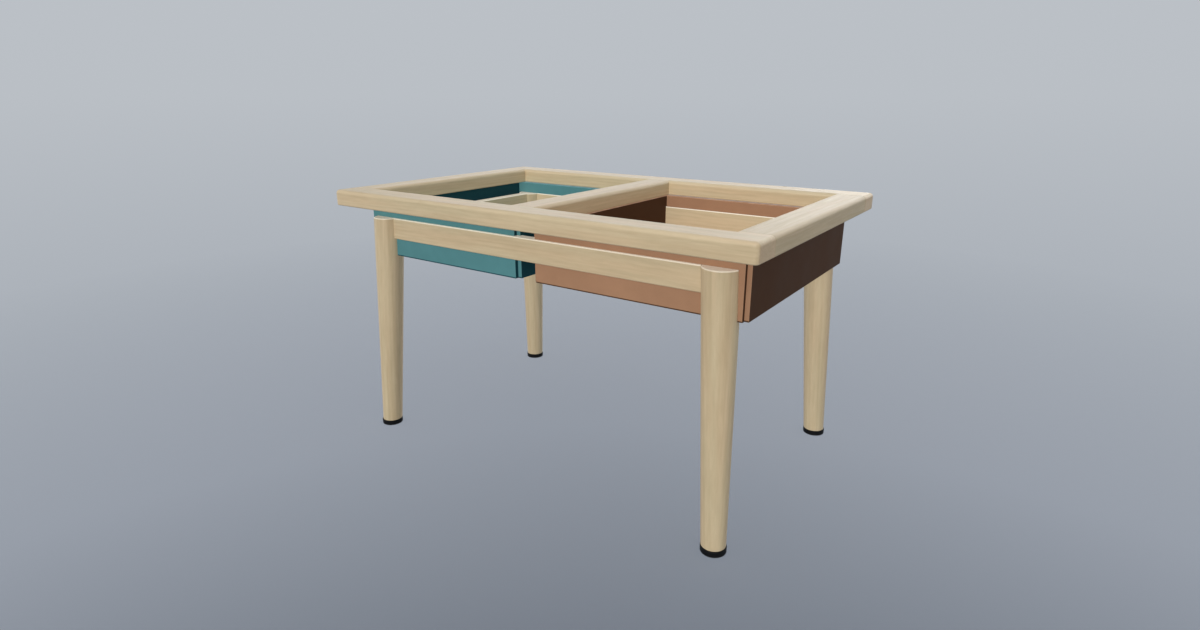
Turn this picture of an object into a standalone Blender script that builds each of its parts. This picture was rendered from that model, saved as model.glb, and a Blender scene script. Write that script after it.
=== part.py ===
"""Sensory table: a wooden base with splayed legs, two painted bins and a top frame.

The long sides are the front (-Y) and the rear (+Y). The floor is z = 0, and the origin is the
middle of the table's footprint. All sizes are in metres.

The aprons run through the bins' long walls, so each of those walls is two boards: an upper one
on the apron and a lower one below it, each with a tongue in a groove of the apron. The legs stand
inside the bins' corners, and the boards and floors are cut to the legs' round.
"""

import math

import bmesh
import bpy
from mathutils import Matrix, Vector

# Overall size
TABLE_LENGTH = 1.100
TABLE_WIDTH = 0.700
TABLE_HEIGHT = 0.630

# Gap kept between two pieces that touch, spare depth at the end of a dowel's hole, and how far
# a cut runs on past the wood
FIT = 0.0003
END_PLAY = 0.001
OVERCUT = 0.020

# Top frame: two long rails, and three short ones tenoned between them
RAIL_WIDTH = 0.072
DIVIDER_WIDTH = 0.070
RAIL_THICKNESS = 0.038
RAIL_TOP_ROUND = 0.009
RAIL_BOTTOM_ROUND = 0.003
ROUND_STEPS = 4
RAIL_TENON_THICKNESS = 0.012
RAIL_TENON_WIDTH = 0.040
RAIL_TENON_LENGTH = 0.025

# Legs: a straight taper, splayed by the same angle both ways, ends cut level
FOOT_INSET_X = 0.068
FOOT_INSET_Y = 0.049
LEG_SPLAY = math.radians(3.0)
LEG_FOOT_RADIUS = 0.025
LEG_TOP_RADIUS = 0.0365
LEG_TOP_ROUND = 0.003
LEG_SIDES = 48

# Aprons, between the legs, with a tenon in each
APRON_DROP = 0.0295
APRON_HEIGHT = 0.051
APRON_THICKNESS = 0.026
APRON_ROUND = 0.0025
APRON_TENON_THICKNESS = 0.008
APRON_TENON_HEIGHT = 0.033
APRON_TENON_LENGTH = 0.018

# Bins
BIN_DEPTH = 0.124
WALL = 0.018
APRON_PROUD = 0.006
GAP_BETWEEN_BINS = 0.039
FLOOR_THICKNESS = 0.012
FLOOR_RAISE = 0.006
FLOOR_HOUSING = 0.006
TONGUE_THICKNESS = 0.009
TONGUE_DEPTH = 0.008
TONGUE_END_MARGIN = 0.012

# Screws up through the lower boards into the aprons
SCREW_RADIUS = 0.00225
SCREW_HEAD_RADIUS = 0.0045
SCREW_HEAD_HEIGHT = 0.003
SCREW_BITE = 0.0215
SCREW_END_MARGIN = 0.090

# Dowels from the bins' sides up into the top frame
DOWEL_RADIUS = 0.004
DOWEL_LENGTH = 0.040
DOWEL_INSET = 0.070

# Levelling glides: a pad and its threaded stem, which runs in an insert in the leg's end
PAD_RADIUS = 0.0262
PAD_HEIGHT = 0.0125
PAD_ROUND = 0.0012
PAD_SOCKET_DEPTH = 0.007
STEM_RADIUS = 0.004
STEM_LENGTH = 0.042
STEM_CHAMFER = 0.001
STEM_HEADROOM = 0.004
INSERT_RADIUS = 0.006
INSERT_LENGTH = 0.015

# Facets of the round pieces
SMALL_SIDES = 16
PAD_SIDES = 32

# Places worked out from the sizes above
HALF_LENGTH = TABLE_LENGTH / 2
HALF_WIDTH = TABLE_WIDTH / 2
OPENING_X = HALF_LENGTH - RAIL_WIDTH
OPENING_Y = HALF_WIDTH - RAIL_WIDTH
FRAME_UNDERSIDE = TABLE_HEIGHT - RAIL_THICKNESS
RIM_TOP = FRAME_UNDERSIDE - FIT
BIN_BOTTOM = FRAME_UNDERSIDE - BIN_DEPTH
APRON_TOP = FRAME_UNDERSIDE - APRON_DROP
APRON_BOTTOM = APRON_TOP - APRON_HEIGHT
APRON_MIDDLE = (APRON_TOP + APRON_BOTTOM) / 2
LEG_BOTTOM = PAD_HEIGHT + FIT
FOOT_X = HALF_LENGTH - FOOT_INSET_X
FOOT_Y = HALF_WIDTH - FOOT_INSET_Y
SPLAY_RATE = math.tan(LEG_SPLAY)


def leg_centre(height):
    """How far the legs' axes are from the middle at a height, in x and in y."""
    return FOOT_X - SPLAY_RATE * height, FOOT_Y - SPLAY_RATE * height


def leg_radius(height):
    """The legs' radius at a height, on their straight taper."""
    share = (height - LEG_BOTTOM) / (APRON_TOP - LEG_BOTTOM)
    return LEG_FOOT_RADIUS + (LEG_TOP_RADIUS - LEG_FOOT_RADIUS) * share


APRON_X, APRON_Y = leg_centre(APRON_MIDDLE)
LEG_REACH = leg_radius(APRON_MIDDLE)
WALL_FACE_Y = APRON_Y + APRON_THICKNESS / 2 - APRON_PROUD
WALL_BACK_Y = WALL_FACE_Y - WALL
WALL_MIDDLE_Y = WALL_FACE_Y - WALL / 2
OUTER_SIDE_X = leg_centre(BIN_BOTTOM)[0] + leg_radius(BIN_BOTTOM) + FIT
OUTER_JOINT_X = OUTER_SIDE_X + WALL / 2
INNER_SIDE_X = GAP_BETWEEN_BINS / 2 + WALL
INNER_JOINT_X = INNER_SIDE_X - WALL / 2
FLOOR_BOTTOM = BIN_BOTTOM + FLOOR_RAISE
FLOOR_TOP = FLOOR_BOTTOM + FLOOR_THICKNESS
SCREW_LENGTH = APRON_BOTTOM - BIN_BOTTOM + SCREW_BITE
DOWEL_Y = WALL_MIDDLE_Y - DOWEL_INSET
STEM_BOTTOM = PAD_HEIGHT - PAD_SOCKET_DEPTH
STEM_TOP = STEM_BOTTOM + STEM_LENGTH

SIDES = {"left": -1, "right": 1}
ENDS = {"front": -1, "rear": 1}

# Colour, roughness and metallic value of each finish
FINISHES = {
    "wood": ((0.55, 0.46, 0.32, 1.0), 0.55, 0.0),
    "teal": ((0.085, 0.22, 0.23, 1.0), 0.5, 0.0),
    "terracotta": ((0.35, 0.20, 0.12, 1.0), 0.5, 0.0),
    "steel": ((0.62, 0.62, 0.63, 1.0), 0.3, 1.0),
    "black_plastic": ((0.01, 0.01, 0.01, 1.0), 0.6, 0.0),
}


def clear_scene():
    for item in list(bpy.data.objects):
        bpy.data.objects.remove(item, do_unlink=True)


def new_collection(name):
    collection = bpy.data.collections.new(name)
    bpy.context.scene.collection.children.link(collection)
    return collection


def finish_material(name, finish):
    """A material of the piece's own, in the colour, roughness and metallic value of a finish."""
    colour, roughness, metallic = FINISHES[finish]
    material = bpy.data.materials.new(name)
    material.use_nodes = True
    shader = material.node_tree.nodes["Principled BSDF"]
    shader.inputs["Base Color"].default_value = colour
    shader.inputs["Roughness"].default_value = roughness
    shader.inputs["Metallic"].default_value = metallic
    material.diffuse_color = colour
    return material


def add_piece(name, mesh, finish, place):
    """A named piece of the table at its place."""
    mesh.materials.append(finish_material(name, finish))
    piece = bpy.data.objects.new(name, mesh)
    piece.location = place
    pieces.objects.link(piece)
    return piece


def add_cutter(name, mesh, place=(0, 0, 0)):
    """A hidden shape that a Boolean uses."""
    cutter = bpy.data.objects.new(name, mesh)
    cutter.location = place
    cutter.hide_render = True
    cutter.display_type = "WIRE"
    cutters.objects.link(cutter)
    return cutter


def combine(piece, other, operation):
    step = piece.modifiers.new(operation.title(), "BOOLEAN")
    step.operation = operation
    step.solver = "EXACT"
    step.object = other


def cut(piece, *others):
    for other in others:
        combine(piece, other, "DIFFERENCE")


def join(piece, *others):
    for other in others:
        combine(piece, other, "UNION")


def to_mesh(name, bm):
    """The bmesh as a mesh, smooth but for its sharp edges."""
    mesh = bpy.data.meshes.new(name)
    bm.normal_update()
    bm.to_mesh(mesh)
    bm.free()
    mesh.shade_smooth()
    mesh.set_sharp_from_angle(angle=math.radians(32))
    return mesh


def centre(low, high):
    return (Vector(low) + Vector(high)) / 2


def block(low, high):
    """A box of the size between two corners, about its own middle."""
    bm = bmesh.new()
    bmesh.ops.create_cube(bm, size=1.0)
    bmesh.ops.scale(bm, vec=Vector(high) - Vector(low), verts=bm.verts)
    return bm


def quarter(low, high, side=1, end=1):
    """The corners of a box moved to the side and the end of the table that the signs name."""
    x = sorted((low[0] * side, high[0] * side))
    y = sorted((low[1] * end, high[1] * end))
    return (x[0], y[0], low[2]), (x[1], y[1], high[2])


def block_piece(name, finish, low, high):
    return add_piece(name, to_mesh(name, block(low, high)), finish, centre(low, high))


def block_cutter(name, low, high, room=0.0):
    """A box cutter, larger by a clearance on every side."""
    spare = Vector((room, room, room))
    low, high = Vector(low) - spare, Vector(high) + spare
    return add_cutter(name, to_mesh(name, block(low, high)), centre(low, high))


def round_edges(bm, wanted, radius, steps):
    """Round each edge for which wanted(middle, direction) is true."""
    chosen = []
    for edge in bm.edges:
        first, last = edge.verts[0].co, edge.verts[1].co
        if wanted((first + last) / 2, (last - first).normalized()):
            chosen.append(edge)
    bmesh.ops.bevel(bm, geom=chosen, offset=radius, segments=steps, profile=0.5, affect="EDGES")


def outline_mesh(name, outline):
    """A line through (radius, height) points, which run from top to bottom of what is turned."""
    mesh = bpy.data.meshes.new(name)
    points = [(radius, 0.0, height) for radius, height in outline]
    mesh.from_pydata(points, [(index, index + 1) for index in range(len(points) - 1)], [])
    return mesh


def turn(item, sides):
    """Turn an object's outline into a solid with a Screw modifier."""
    step = item.modifiers.new("Turn", "SCREW")
    step.axis = "Z"
    step.steps = sides
    step.render_steps = sides
    step.use_merge_vertices = True
    step.merge_threshold = 0.00002
    step.use_smooth_shade = True
    return item


def turned_piece(name, finish, outline, sides, place):
    return turn(add_piece(name, outline_mesh(name, outline), finish, place), sides)


def turned_cutter(name, outline, sides, place):
    return turn(add_cutter(name, outline_mesh(name, outline), place), sides)


def rod_outline(radius, bottom, top, chamfer=0.0):
    """The half outline of a rod, with both ends chamfered if asked."""
    if chamfer == 0.0:
        return [(0, top), (radius, top), (radius, bottom), (0, bottom)]
    return [(0, top), (radius - chamfer, top), (radius, top - chamfer),
            (radius, bottom + chamfer), (radius - chamfer, bottom), (0, bottom)]


def flare(bm, up, radius):
    """Widen a box at its top (up = 1) or bottom (-1) along a quarter circle, then run on straight.

    This is the shape that a round-over bit takes off the edges of an opening.
    """
    start = {}
    for step in range(1, ROUND_STEPS + 2):
        angle = min(step / ROUND_STEPS, 1.0) * math.pi / 2
        face = max(bm.faces, key=lambda item: up * item.calc_center_median().z)
        for vert in face.verts:
            start.setdefault((vert.co.x > 0, vert.co.y > 0), vert.co.copy())
        grown = bmesh.ops.extrude_discrete_faces(bm, faces=[face])["faces"][0]
        overrun = radius if step > ROUND_STEPS else 0.0
        for vert in grown.verts:
            corner = start[vert.co.x > 0, vert.co.y > 0]
            widening = radius * (1 - math.cos(angle))
            vert.co.x = corner.x + math.copysign(widening, corner.x)
            vert.co.y = corner.y + math.copysign(widening, corner.y)
            vert.co.z = corner.z + up * (radius * math.sin(angle) + overrun)


def opening_cutter(name, low_x, high_x):
    """One opening of the top frame, whose upper and lower edges are rounded over."""
    low = Vector((low_x + FIT, -OPENING_Y + FIT, FRAME_UNDERSIDE + RAIL_BOTTOM_ROUND))
    high = Vector((high_x - FIT, OPENING_Y - FIT, TABLE_HEIGHT - RAIL_TOP_ROUND))
    bm = block(low, high)
    flare(bm, 1, RAIL_TOP_ROUND + FIT)
    flare(bm, -1, RAIL_BOTTOM_ROUND + FIT)
    return add_cutter(name, to_mesh(name, bm), centre(low, high))


def make_long_rail(end_word):
    """A front or rear rail, square where the short rails meet it and round on its other edges."""
    low, high = quarter((-HALF_LENGTH, OPENING_Y, FRAME_UNDERSIDE),
                        (HALF_LENGTH, HALF_WIDTH, TABLE_HEIGHT), 1, ENDS[end_word])
    inner_face = -ENDS[end_word] * RAIL_WIDTH / 2
    bm = block(low, high)
    round_edges(bm, lambda spot, along: (
        (spot.z > 0 or abs(along.z) > 0.9) and abs(spot.y - inner_face) > FIT),
        RAIL_TOP_ROUND, ROUND_STEPS)
    round_edges(bm, lambda spot, along: (
        spot.z < FIT - RAIL_THICKNESS / 2 and abs(spot.y - inner_face) > FIT),
        RAIL_BOTTOM_ROUND, 2)
    return add_piece(end_word + "_top_rail", to_mesh(end_word, bm), "wood", centre(low, high))


def make_short_rail(name, low_x, high_x, outer_side):
    """A rail between the long ones, its outer edges rounded, with a tenon at each end."""
    low = (low_x, -OPENING_Y + FIT, FRAME_UNDERSIDE)
    high = (high_x, OPENING_Y - FIT, TABLE_HEIGHT)
    bm = block(low, high)
    if outer_side != 0:
        for up, radius, steps in ((1, RAIL_TOP_ROUND, ROUND_STEPS), (-1, RAIL_BOTTOM_ROUND, 2)):
            round_edges(bm, lambda spot, along: (
                abs(along.y) > 0.9 and abs(spot.z - up * RAIL_THICKNESS / 2) < FIT
                and abs(spot.x - outer_side * (high_x - low_x) / 2) < FIT), radius, steps)
    return add_piece(name, to_mesh(name, bm), "wood", centre(low, high))


def make_top_frame():
    """Five rails, with the openings' edges rounded after the frame is put together."""
    long_rails = {word: make_long_rail(word) for word in ENDS}
    short_rails = {
        "left": make_short_rail("left_top_rail", -HALF_LENGTH, -OPENING_X, -1),
        "divider": make_short_rail("divider_rail", -DIVIDER_WIDTH / 2, DIVIDER_WIDTH / 2, 0),
        "right": make_short_rail("right_top_rail", OPENING_X, HALF_LENGTH, 1),
    }
    openings = (opening_cutter("left_opening", -OPENING_X, -DIVIDER_WIDTH / 2),
                opening_cutter("right_opening", DIVIDER_WIDTH / 2, OPENING_X))
    middle_z = FRAME_UNDERSIDE + RAIL_THICKNESS / 2
    for rail in list(long_rails.values()) + list(short_rails.values()):
        cut(rail, *openings)
    for word, rail in short_rails.items():
        for end_word, end in ENDS.items():
            low, high = quarter(
                (rail.location.x - RAIL_TENON_WIDTH / 2, OPENING_Y - RAIL_TENON_LENGTH,
                 middle_z - RAIL_TENON_THICKNESS / 2),
                (rail.location.x + RAIL_TENON_WIDTH / 2, OPENING_Y + RAIL_TENON_LENGTH,
                 middle_z + RAIL_TENON_THICKNESS / 2), 1, end)
            name = end_word + "_" + word
            join(rail, block_cutter(name + "_tenon", low, high))
            cut(long_rails[end_word], block_cutter(name + "_mortise", low, high, FIT))
    return list(short_rails.values())


def leg_mesh(name, side, end, room=0.0):
    """A leg above its foot point: a cone that leans inwards, with level ends.

    With room it is the cutter for what fits round the leg, larger by that clearance.
    """
    bottom = LEG_BOTTOM - room
    top = APRON_TOP + room
    bm = bmesh.new()
    bmesh.ops.create_cone(bm, segments=LEG_SIDES, radius1=leg_radius(bottom) + room,
                          radius2=leg_radius(top) + room, depth=top - bottom, cap_ends=True,
                          matrix=Matrix.Translation((0, 0, (top + bottom) / 2)))
    if room == 0.0:
        round_edges(bm, lambda spot, along: spot.z > APRON_MIDDLE and abs(along.z) < 0.01,
                    LEG_TOP_ROUND, 2)
    for vert in bm.verts:
        vert.co.x -= side * SPLAY_RATE * vert.co.z
        vert.co.y -= end * SPLAY_RATE * vert.co.z
    return to_mesh(name, bm)


def foot_point(side, end):
    return Vector((side * FOOT_X, end * FOOT_Y, 0.0))


def make_legs():
    """Four legs by (side, end), each with the cutter that shapes what fits round it."""
    legs = {}
    surrounds = {}
    for end_word, end in ENDS.items():
        for side_word, side in SIDES.items():
            name = end_word + "_" + side_word + "_leg"
            legs[side, end] = add_piece(name, leg_mesh(name, side, end), "wood",
                                        foot_point(side, end))
            around = name + "_surround"
            surrounds[side, end] = add_cutter(around, leg_mesh(around, side, end, FIT),
                                              foot_point(side, end))
    return legs, surrounds


def apron_box(word):
    """The corners of an apron, from leg axis to leg axis."""
    half = APRON_THICKNESS / 2
    if word in ENDS:
        return quarter((-APRON_X, APRON_Y - half, APRON_BOTTOM),
                       (APRON_X, APRON_Y + half, APRON_TOP), 1, ENDS[word])
    return quarter((APRON_X - half, -APRON_Y, APRON_BOTTOM),
                   (APRON_X + half, APRON_Y, APRON_TOP), SIDES[word], 1)


def apron_tenon_box(word, side, end):
    """The corners of the tenon that joins an apron to the leg at a side and an end."""
    half = APRON_TENON_THICKNESS / 2
    tip = LEG_REACH - APRON_TENON_LENGTH
    root = LEG_REACH + APRON_TENON_LENGTH
    low_z = APRON_MIDDLE - APRON_TENON_HEIGHT / 2
    high_z = APRON_MIDDLE + APRON_TENON_HEIGHT / 2
    if word in ENDS:
        return quarter((APRON_X - root, APRON_Y - half, low_z),
                       (APRON_X - tip, APRON_Y + half, high_z), side, end)
    return quarter((APRON_X - half, APRON_Y - root, low_z),
                   (APRON_X + half, APRON_Y - tip, high_z), side, end)


def make_aprons(legs, surrounds):
    """Four aprons with their shoulders cut to the legs' round and their tenons in the legs."""
    aprons = {}
    for word in ("front", "rear", "left", "right"):
        name = word + "_apron"
        low, high = apron_box(word)
        bm = block(low, high)
        round_edges(bm, lambda spot, along: abs(along.x if word in ENDS else along.y) > 0.9,
                    APRON_ROUND, 2)
        apron = add_piece(name, to_mesh(name, bm), "wood", centre(low, high))
        aprons[word] = apron
        for (side, end), leg in legs.items():
            if {**ENDS, **SIDES}[word] != (end if word in ENDS else side):
                continue
            low, high = apron_tenon_box(word, side, end)
            cut(apron, surrounds[side, end])
            join(apron, block_cutter(name + "_tenon", low, high))
            cut(leg, block_cutter(name + "_mortise", low, high, FIT))
    return aprons


def make_long_wall(name, finish, side, end, surround, apron):
    """The upper board on an apron, with its drop past the leg, and the lower board under it."""
    leg_x = leg_centre(BIN_BOTTOM)[0]
    low, high = quarter((INNER_JOINT_X, WALL_BACK_Y, BIN_BOTTOM),
                        (OUTER_JOINT_X, WALL_FACE_Y, RIM_TOP), side, end)
    upper = block_piece(name + "_upper_board", finish, low, high)
    low, high = quarter((0.0, WALL_BACK_Y - OVERCUT, BIN_BOTTOM - OVERCUT),
                        (leg_x, WALL_FACE_Y + OVERCUT, APRON_TOP + FIT), side, end)
    cut(upper, block_cutter(name + "_apron_space", low, high))
    low, high = quarter((INNER_JOINT_X, WALL_BACK_Y, BIN_BOTTOM),
                        (leg_x, WALL_FACE_Y, APRON_BOTTOM - FIT), side, end)
    lower = block_piece(name + "_lower_board", finish, low, high)

    tongue_start = INNER_SIDE_X + TONGUE_END_MARGIN
    tongue_stop = APRON_X - LEG_REACH - APRON_TENON_LENGTH - TONGUE_END_MARGIN
    for board, seat in ((upper, APRON_TOP), (lower, APRON_BOTTOM)):
        low, high = quarter(
            (tongue_start, WALL_MIDDLE_Y - TONGUE_THICKNESS / 2, seat - TONGUE_DEPTH),
            (tongue_stop, WALL_MIDDLE_Y + TONGUE_THICKNESS / 2, seat + TONGUE_DEPTH), side, end)
        join(board, block_cutter(board.name + "_tongue", low, high))
        cut(apron, block_cutter(board.name + "_groove", low, high, FIT))
        cut(board, surround)

    low, high = quarter((0.0, WALL_BACK_Y - OVERCUT, BIN_BOTTOM - OVERCUT),
                        (INNER_SIDE_X + FIT, WALL_MIDDLE_Y, RIM_TOP + OVERCUT), side, end)
    inner_rebate = block_cutter(name + "_inner_rebate", low, high)
    low, high = quarter((OUTER_SIDE_X - FIT, WALL_BACK_Y - OVERCUT, BIN_BOTTOM - OVERCUT),
                        (HALF_LENGTH, WALL_MIDDLE_Y, RIM_TOP + OVERCUT), side, end)
    outer_rebate = block_cutter(name + "_outer_rebate", low, high)
    cut(upper, inner_rebate, outer_rebate)
    cut(lower, inner_rebate)
    return upper, lower


def make_bin(side_word, finish, surrounds, aprons):
    """Seven boards: two long walls of two boards each, two sides and a floor."""
    side = SIDES[side_word]
    name = side_word + "_bin"
    low, high = quarter((INNER_SIDE_X - FLOOR_HOUSING, -WALL_BACK_Y - FLOOR_HOUSING, FLOOR_BOTTOM),
                        (OUTER_SIDE_X + FLOOR_HOUSING, WALL_BACK_Y + FLOOR_HOUSING, FLOOR_TOP),
                        side)
    floor = block_piece(name + "_floor", finish, low, high)
    floor_space = block_cutter(name + "_floor_space", low, high, FIT)
    for end in ENDS.values():
        cut(floor, surrounds[side, end])

    side_boards = []
    for place, near_x in (("outer", OUTER_SIDE_X), ("inner", INNER_SIDE_X - WALL)):
        low, high = quarter((near_x, FIT - WALL_MIDDLE_Y, BIN_BOTTOM),
                            (near_x + WALL, WALL_MIDDLE_Y - FIT, RIM_TOP), side)
        side_boards.append(block_piece(name + "_" + place + "_side", finish, low, high))
    for end_word in ENDS:
        low, high = apron_box(end_word)
        cut(side_boards[1], block_cutter(name + "_" + end_word + "_notch", low, high, FIT))

    lower_boards = []
    for end_word, end in ENDS.items():
        upper, lower = make_long_wall(name + "_" + end_word, finish, side, end,
                                      surrounds[side, end], aprons[end_word])
        cut(upper, floor_space)
        cut(lower, floor_space)
        lower_boards.append(lower)
    for board in side_boards:
        cut(board, floor_space)
    return side_boards, lower_boards


def screw_outline(room=0.0):
    """The half outline of a countersunk screw that stands on its head."""
    return [(0, SCREW_LENGTH + room), (SCREW_RADIUS + room, SCREW_LENGTH + room),
            (SCREW_RADIUS + room, SCREW_HEAD_HEIGHT), (SCREW_HEAD_RADIUS + room, 0), (0, 0)]


def screw_hole_outline():
    """The half outline of a screw's hole, which runs on below the head."""
    outline = screw_outline(FIT)
    outline[-1:] = [(SCREW_HEAD_RADIUS + FIT, -OVERCUT), (0, -OVERCUT)]
    return outline


def make_screws(lower_boards, aprons):
    """Two screws up through each lower board into the apron above it."""
    start = INNER_SIDE_X + SCREW_END_MARGIN
    stop = APRON_X - LEG_REACH - SCREW_END_MARGIN
    for board in lower_boards:
        side = math.copysign(1, board.location.x)
        end = math.copysign(1, board.location.y)
        apron = aprons["front" if end < 0 else "rear"]
        for number, x in enumerate((start, stop), 1):
            name = board.name.replace("_lower_board", "_screw_") + str(number)
            place = (side * x, end * WALL_MIDDLE_Y, BIN_BOTTOM)
            turned_piece(name, "steel", screw_outline(), SMALL_SIDES, place)
            hole = turned_cutter(name + "_hole", screw_hole_outline(), SMALL_SIDES, place)
            cut(board, hole)
            cut(apron, hole)


def make_dowels(side_word, side_boards, short_rails):
    """Two dowels up from each side board of a bin into the top frame."""
    half = DOWEL_LENGTH / 2
    for board in side_boards:
        place = "outer" if "outer" in board.name else "inner"
        rail = min(short_rails, key=lambda item: abs(item.location.x - board.location.x))
        for end_word, end in ENDS.items():
            name = side_word + "_bin_" + place + "_" + end_word + "_dowel"
            spot = (board.location.x, end * DOWEL_Y, FRAME_UNDERSIDE)
            turned_piece(name, "wood", rod_outline(DOWEL_RADIUS, -half, half), SMALL_SIDES, spot)
            hole = turned_cutter(name + "_hole",
                                 rod_outline(DOWEL_RADIUS + FIT, -half - END_PLAY, half + END_PLAY),
                                 SMALL_SIDES, spot)
            cut(board, hole)
            cut(rail, hole)


def make_glides(legs):
    """A levelling glide under each leg: pad, stem and the insert that the stem runs in."""
    bore_radius = STEM_RADIUS + FIT
    insert_top = LEG_BOTTOM + INSERT_LENGTH
    bore_top = STEM_TOP + STEM_HEADROOM
    pad_outline = [(0, STEM_BOTTOM - FIT), (bore_radius, STEM_BOTTOM - FIT),
                   (bore_radius, PAD_HEIGHT), (PAD_RADIUS - PAD_ROUND, PAD_HEIGHT),
                   (PAD_RADIUS, PAD_HEIGHT - PAD_ROUND), (PAD_RADIUS, PAD_ROUND),
                   (PAD_RADIUS - PAD_ROUND, 0), (0, 0)]
    insert_outline = [(bore_radius, LEG_BOTTOM), (bore_radius, insert_top),
                      (INSERT_RADIUS, insert_top), (INSERT_RADIUS, LEG_BOTTOM),
                      (bore_radius, LEG_BOTTOM)]
    bore_outline = [(0, bore_top), (bore_radius, bore_top), (bore_radius, insert_top + FIT),
                    (INSERT_RADIUS + FIT, insert_top + FIT), (INSERT_RADIUS + FIT, 0), (0, 0)]
    for (side, end), leg in legs.items():
        foot = foot_point(side, end)
        word = leg.name.replace("_leg", "")
        turned_piece(word + "_glide_pad", "black_plastic", pad_outline, PAD_SIDES, foot)
        turned_piece(word + "_glide_stem", "steel",
                     rod_outline(STEM_RADIUS, STEM_BOTTOM, STEM_TOP, STEM_CHAMFER), SMALL_SIDES,
                     foot)
        turned_piece(word + "_leg_insert", "steel", insert_outline, SMALL_SIDES, foot)
        cut(leg, turned_cutter(word + "_leg_bore", bore_outline, SMALL_SIDES, foot))


clear_scene()
pieces = new_collection("sensory_table")
cutters = new_collection("cutters")

frame_rails = make_top_frame()
table_legs, leg_surrounds = make_legs()
table_aprons = make_aprons(table_legs, leg_surrounds)
for bin_word, bin_finish in (("left", "teal"), ("right", "terracotta")):
    bin_sides, bin_lower_boards = make_bin(bin_word, bin_finish, leg_surrounds, table_aprons)
    make_screws(bin_lower_boards, table_aprons)
    make_dowels(bin_word, bin_sides, frame_rails)
make_glides(table_legs)
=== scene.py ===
import math

import bpy
import numpy as np
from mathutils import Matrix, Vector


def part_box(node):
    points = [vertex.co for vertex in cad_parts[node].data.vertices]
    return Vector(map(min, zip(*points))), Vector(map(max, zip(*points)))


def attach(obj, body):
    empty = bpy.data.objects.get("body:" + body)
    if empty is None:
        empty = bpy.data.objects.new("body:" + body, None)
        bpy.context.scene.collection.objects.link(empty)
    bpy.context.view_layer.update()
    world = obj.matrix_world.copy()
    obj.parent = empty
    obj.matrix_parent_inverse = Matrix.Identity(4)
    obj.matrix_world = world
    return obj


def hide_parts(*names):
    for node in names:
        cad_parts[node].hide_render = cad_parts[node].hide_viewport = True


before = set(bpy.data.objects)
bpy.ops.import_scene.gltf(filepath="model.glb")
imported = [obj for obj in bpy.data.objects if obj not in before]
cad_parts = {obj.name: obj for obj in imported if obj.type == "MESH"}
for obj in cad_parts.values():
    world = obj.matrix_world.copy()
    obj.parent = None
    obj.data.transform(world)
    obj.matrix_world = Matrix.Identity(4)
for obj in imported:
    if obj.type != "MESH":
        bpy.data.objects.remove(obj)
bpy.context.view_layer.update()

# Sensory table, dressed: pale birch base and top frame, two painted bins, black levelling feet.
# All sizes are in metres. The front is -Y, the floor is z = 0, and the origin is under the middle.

TURN = 2 * math.pi
MICROMETRES_IN_A_METRE = 1e6

# Top frame
HALF_LENGTH = 0.550
HALF_WIDTH = 0.350
FRAME_TOP = 0.630
FRAME_UNDERSIDE = 0.592
RAIL_WIDTH = 0.072
DIVIDER_HALF = 0.035
TOP_ROUND = 0.009
BOTTOM_ROUND = 0.003
RAIL_STEPS = 8
OPENING_X = HALF_LENGTH - RAIL_WIDTH
OPENING_Y = HALF_WIDTH - RAIL_WIDTH
JOINT_GAP = 0.00015
JOINT_EASED = 0.0010

# Legs and aprons
FOOT_X = 0.482
FOOT_Y = 0.301
SPLAY = math.radians(3.0)
SPLAY_RATE = math.tan(SPLAY)
LEG_BOTTOM = 0.0128
LEG_TOP = 0.5625
LEG_FOOT_RADIUS = 0.025
LEG_TOP_RADIUS = 0.0365
LEG_SIDES = 96
APRON_BOTTOM = 0.5115
APRON_THICKNESS = 0.026
APRON_ROUND = 0.0028

# Bins. A long wall's back, rebate and face are its y, and its ends and their rebates its x
WALL_BACK = 0.2619
WALL_MIDDLE = 0.2709
WALL_FACE = 0.2799
INNER_END = 0.0285
INNER_REBATE = 0.0378
OUTER_REBATE = 0.4920
OUTER_END = 0.5013
SIDE_BOARDS = {"outer": (0.4923, 0.5103), "inner": (0.0195, 0.0375)}
NOTCH_REACH = 0.2596
BIN_BOTTOM = 0.468
RIM = 0.5917
EASED = 0.0009
LOWER_EASED = 0.0015
ARRIS = 0.0004
REBATE_ROUND = 0.0002
BOARD_STEPS = 4
FIT = 0.0003

# Levelling feet
PAD_RADIUS = 0.0262
PAD_HEIGHT = 0.0125
PAD_SOCKET = 0.0052
PAD_HUB_DROP = 0.0006
PAD_GROOVE_DEPTH = 0.0008
PAD_SIDES = 96
STEM_RADIUS = 0.004
STEM_BOTTOM = 0.0055
STEM_TOP = 0.0475
STEM_CHAMFER = 0.001
STEM_SIDES = 32
STEM_ROWS = 168
THREAD_PITCH = 0.00125
THREAD_DEPTH = 0.0007
BORE_RADIUS = 0.0043
BORE_TOP = 0.0518
SLEEVE_RADIUS = 0.0060
SLEEVE_TOP = 0.0278
SLEEVE_SIDES = 48

# Screws
HEAD_RADIUS = 0.0045
HEAD_HEIGHT = 0.003
SHANK_RADIUS = 0.00225
RECESS_DEPTH = 0.0021
LOBE_DEPTH = 0.0003
SCREW_SIDES = 48

SIDES = {"left": -1, "right": 1}
ENDS = {"front": -1, "rear": 1}


def linear(red, green, blue):
    """A screen colour of 0 to 255 as the linear colour that a shader takes."""
    share = np.array([red, green, blue]) / 255
    value = np.where(share <= 0.04045, share / 12.92, ((share + 0.055) / 1.055) ** 2.4)
    return (*value.tolist(), 1.0)


# Shapes

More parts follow.
